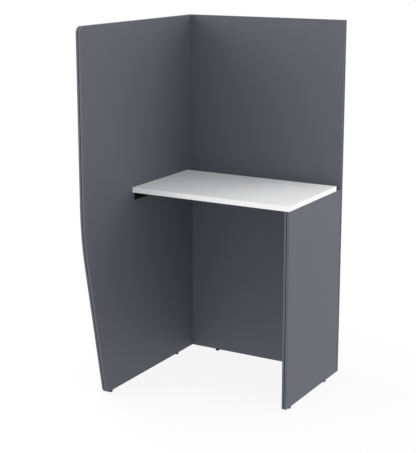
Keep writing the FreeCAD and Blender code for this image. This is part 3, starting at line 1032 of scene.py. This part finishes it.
@dataclass(frozen=True)
class LevellingFoot:
    """A glide that stays still, a fluted head that turns on it, and a threaded stem.

    Sizes are in millimetres, with heights above the floor.
    """

    frame: Frame
    name: str
    # The disc on the floor, with the moulding's marks in its underside by radius and height
    glide_radius: float = 10.5
    glide_height: float = 3.0
    gate_mark: Pairs = ((1.0, 0.35), (1.3, 0.0))
    mould_ring: Pairs = ((5.6, 0.0), (5.9, 0.3), (6.6, 0.3), (6.9, 0.0))
    sole_edge: Edge = Edge(((1.0, 0.0), (0.45, 0.2), (0.1, 0.6), (0.0, 1.1)))
    rim_edge: Edge = Edge(((0.35, 0.0), (0.1, 0.1), (0.0, 0.35)))
    # The split boss, rooted in the disc, with a lip that snaps into the head
    boss_root: float = 0.4
    neck_radius: float = 4.0
    neck_top: float = 4.4
    lip_radius: float = 4.8
    lip_top: float = 5.2
    slot_width: float = 1.2
    # The head: its outside, then the mouth round the boss's neck and the chamber for its lip
    head_bottom: float = 3.3
    head_top: float = 8.8
    head_radius: float = 11.5
    head_edge: Edge = Edge(((0.8, 0.0), (0.25, 0.22), (0.0, 0.8)))
    # How far in from the side the flutes show in the head's end faces
    flute_reach: float = 1.6
    mouth_radius: float = 4.3
    mouth_top: float = 4.1
    chamber_radius: float = 5.1
    chamber_top: float = 5.5
    # The stem: its hexagon in the head, over the corners, and the rod that leaves it
    hex_radius: float = 7.506
    hex_bottom: float = 6.2
    hex_edge: Edge = Edge(((0.3, 0.0), (0.0, 0.2)))
    # How much wider than its thread the rod starts, and the height over which it narrows
    collar: float = 0.4
    fillet: float = 0.3
    stem_top: float = 40.8
    stem_chamfer: float = 0.9
    thread: Thread = field(default_factory=lambda: Thread(radius=4.0, depth=0.68, pitch=1.25))
    # Sides of the rings of the glide, of the hexagon, a multiple of six, and of the head
    round_sides: int = 64
    hex_sides: int = 60
    fluted_sides: int = 144

    def glide(self) -> BMesh:
        """Make the disc with its moulding marks, and the split boss on it.

        Returns:
            The glide about Z.
        """
        mesh = bmesh.new()
        top = self.glide_height
        rings = [*(Ring(radius, height) for radius, height in self.gate_mark + self.mould_ring),
                 *self.sole_edge.low(self.glide_radius, 0.0),
                 *self.rim_edge.high(self.glide_radius, top)]
        turn(mesh, rings, self.round_sides)
        boss = [Ring(self.neck_radius, top - self.boss_root),
                Ring(self.neck_radius, self.neck_top), Ring(self.lip_radius, self.neck_top),
                Ring(self.neck_radius, self.lip_top)]
        for side in (-1, 1):
            half = bmesh.new()
            turn(half, boss, self.round_sides)
            cut_off(half, (0, side * self.slot_width / 2, 0), (0, -side, 0))
            add_copies(mesh, half, [Matrix()])
            half.free()
        return mesh

    def knob(self) -> BMesh:
        """Make the fluted head, with a chamber for the boss and a pocket for the hexagon.

        Returns:
            The head about Z.
        """
        mesh = bmesh.new()
        outer = self.head_radius
        low = self.head_bottom
        top = self.head_top
        fluted = Section.FLUTED
        hexagon = Section.HEXAGON
        rings = [Ring(self.chamber_radius, self.chamber_top),
                 Ring(self.chamber_radius, self.mouth_top),
                 Ring(self.mouth_radius, self.mouth_top), Ring(self.mouth_radius, low),
                 Ring(outer - self.flute_reach, low),
                 *self.head_edge.low(outer, low, fluted), *self.head_edge.high(outer, top, fluted),
                 Ring(outer - self.flute_reach, top),
                 Ring(self.hex_radius, top, hexagon),
                 Ring(self.hex_radius, self.hex_bottom, hexagon)]
        turn(mesh, rings, self.fluted_sides)
        return mesh

    def stem(self) -> BMesh:
        """Make the threaded stem on its hexagon.

        Returns:
            The stem about Z.
        """
        mesh = bmesh.new()
        thread_bottom = self.head_top + self.fillet
        rings = [Ring(self.hex_radius, self.hex_bottom, Section.HEXAGON),
                 *self.hex_edge.high(self.hex_radius, self.head_top, Section.HEXAGON),
                 Ring(self.thread.radius + self.collar, self.head_top),
                 Ring(self.thread.root, thread_bottom)]
        turn(mesh, rings, self.hex_sides)
        self.thread.cut_chamfered(mesh, thread_bottom, self.stem_top, self.stem_chamfer)
        return mesh

    def piece(self, ending: str, shape: BMesh, finish: Finish, node: str) -> None:
        """Put a shape at the foot's place, in the place of one of the foot's nodes.

        Args:
            ending: how the new piece's name ends.
            shape: the shape about Z, freed here.
            finish: the finish all over.
            node: how the node's name ends.
        """
        low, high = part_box(self.name + "_glide")
        middle = (low + high) / 2
        middle.z = 0.0
        mesh = bmesh.new()
        add_copies(mesh, shape, [Matrix.Translation(middle)])
        shape.free()
        placed = finished(self.name + ending, mesh, finish, TURNED_SHARP)
        self.frame.stand_in(placed, self.name + node)

    def build(self) -> None:
        """Build the foot's three pieces."""
        self.piece("_glide_disc", self.glide(), POLYETHYLENE, "_glide")
        self.piece("_knob", self.knob(), NYLON, "_foot_head")
        self.piece("_threaded_stem", self.stem(), ZINC, "_stem")


@dataclass(frozen=True)
class Softbox:
    """A square lamp that points at the middle of the booth.

    Attributes:
        name: the lamp's name.
        place: where it stands in metres.
        power: its strength in watts.
        size: the length of its sides in metres.
    """

    name: str
    place: Triple
    power: float
    size: float = 3.0

    def build(self) -> None:
        """Set the lamp up."""
        data = bpy.data.lights.new(self.name, "AREA")
        data.size = self.size
        data.energy = self.power
        lamp = add_object(self.name, data)
        low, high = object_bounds()
        aim = (low + high) / 2 - Vector(self.place)
        lamp.location = self.place
        lamp.rotation_mode = "QUATERNION"
        lamp.rotation_quaternion = aim.to_track_quat("-Z", "Y")


@dataclass(frozen=True)
class Studio:
    """Pale floor, white surroundings, soft lamps and the camera.

    Attributes:
        camera_place: the camera's place in metres.
        camera_yaw: degrees that the camera is turned left from +Y.
        camera_pitch: degrees that it looks down.
        lens: focal length in millimetres over a 36 mm long side.
        shift: how far the frame sits below the optical axis, as a share of the long side.
        world_light: strength of the surroundings on the object.
        floor_colour: the floor's sRGB hex.
        floor_glow: strength of the lit floor on the object.
        floor_lift: how much of the floor's look is plain white beside the booth.
        floor_radius: the floor's radius in metres.
        floor_sides: sides of the floor's rim.
        fade_start: where the floor starts to turn plain white, in metres from the origin.
        fade_end: where it is plain white.
        lamps: the soft lamps.
    """

    camera_place: Triple = (2.7309, -4.8067, 2.1843)
    camera_yaw: float = 30.0
    camera_pitch: float = 12.89
    lens: float = 93.74
    shift: float = -0.0408
    world_light: float = 0.85
    floor_colour: str = "#f4f4f4"
    floor_glow: float = 0.74
    floor_lift: float = 0.88
    floor_radius: float = 14.0
    floor_sides: int = 96
    fade_start: float = 0.7
    fade_end: float = 2.6
    lamps: tuple[Softbox, ...] = (
        Softbox("lamp_over_side_panel", (-3.5, 0.2, 4.5), 83.0),
        Softbox("lamp_front_left", (-3.4, -3.4, 2.6), 84.0),
        Softbox("lamp_rear_right", (4.0, 2.6, 3.0), 61.0),
    )

    def world(self) -> None:
        """Light the object evenly, and show plain white where a ray looks past it."""
        world = bpy.data.worlds.new("studio_surroundings")
        bpy.context.scene.world = world
        tree = empty_tree(world)
        light = add_node(tree, "ShaderNodeBackground",
                         {"Color": linear(WHITE), "Strength": self.world_light})
        seen = add_node(tree, "ShaderNodeBackground", {"Color": linear(WHITE), "Strength": PLAIN})
        mix = add_node(tree, "ShaderNodeMixShader",
                       links={"Fac": self.seen_rays(tree), 1: light.outputs["Background"],
                              2: seen.outputs["Background"]})
        add_node(tree, "ShaderNodeOutputWorld", links={"Surface": mix.outputs["Shader"]})

    def seen_rays(self, tree: NodeTree) -> NodeSocket:
        """Tell the rays that show the surroundings from those that light the object.

        Args:
            tree: nodes of the world or the floor.

        Returns:
            1 for rays from the camera, from a reflection or through glass, and otherwise 0.
        """
        rays = add_node(tree, "ShaderNodeLightPath").outputs
        bent = add_node(tree, "ShaderNodeMath", {"operation": "MAXIMUM"},
                        {0: rays["Is Glossy Ray"], 1: rays["Is Transmission Ray"]})
        seen = add_node(tree, "ShaderNodeMath", {"operation": "MAXIMUM"},
                        {0: rays["Is Camera Ray"], 1: bent.outputs["Value"]})
        return seen.outputs["Value"]

    def floor_material(self) -> Material:
        """Make the pale floor, which keeps the booth's shadow and turns white further off.

        Returns:
            The floor's material.
        """
        material = bpy.data.materials.new("pale_studio_floor")
        tree = empty_tree(material)
        place = add_node(tree, "ShaderNodeTexCoord").outputs["Object"]
        distance = add_node(tree, "ShaderNodeVectorMath", {"operation": "LENGTH"}, {0: place})
        white_share = add_node(tree, "ShaderNodeMapRange",
                               {"interpolation_type": "SMOOTHSTEP", "From Min": self.fade_start,
                                "From Max": self.fade_end, "To Min": self.floor_lift},
                               {"Value": distance.outputs["Value"]})
        white = add_node(tree, "ShaderNodeEmission", {"Color": linear(WHITE), "Strength": PLAIN})
        painted = add_node(tree, "ShaderNodeBsdfDiffuse", {"Color": linear(self.floor_colour)})
        look = add_node(tree, "ShaderNodeMixShader",
                        links={"Fac": white_share.outputs["Result"], 1: painted.outputs["BSDF"],
                               2: white.outputs["Emission"]})
        glow = add_node(tree, "ShaderNodeEmission",
                        {"Color": linear(WHITE), "Strength": self.floor_glow})
        mix = add_node(tree, "ShaderNodeMixShader",
                       links={"Fac": self.seen_rays(tree), 1: glow.outputs["Emission"],
                              2: look.outputs["Shader"]})
        add_node(tree, "ShaderNodeOutputMaterial", links={"Surface": mix.outputs["Shader"]})
        return material

    def floor(self) -> None:
        """Lay a round floor under the booth."""
        mesh = bmesh.new()
        bmesh.ops.create_circle(mesh, segments=self.floor_sides, radius=self.floor_radius,
                                cap_ends=True)
        data = bpy.data.meshes.new("floor")
        mesh.to_mesh(data)
        mesh.free()
        data.materials.append(self.floor_material())
        add_object("floor", data)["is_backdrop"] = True

    def camera(self) -> None:
        """Set up the camera at the photograph's viewing angle."""
        data = bpy.data.cameras.new("camera")
        data.lens = self.lens
        data.shift_y = self.shift
        camera = add_object("camera", data)
        camera.location = self.camera_place
        camera.rotation_euler = (math.radians(LEVEL - self.camera_pitch), 0,
                                 math.radians(self.camera_yaw))
        bpy.context.scene.camera = camera

    def build(self) -> None:
        """Set up the whole studio."""
        bpy.context.scene.view_settings.view_transform = "Standard"
        self.world()
        self.floor()
        for lamp in self.lamps:
            lamp.build()
        self.camera()


def main() -> None:
    """Build the looks of every piece, then the studio."""
    logging.basicConfig(level=logging.INFO, format="%(message)s")
    frame = Frame.load()
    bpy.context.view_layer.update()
    Panels(frame).build()
    Desk(frame).build()
    SupportAngles(frame).build()
    Fixings(frame).build()
    for body in sorted(set(frame.bodies.values())):
        if body.endswith("_foot"):
            LevellingFoot(frame, body.removesuffix("_foot")).build()
    Studio().build()


if __name__ == "__main__":
    main()
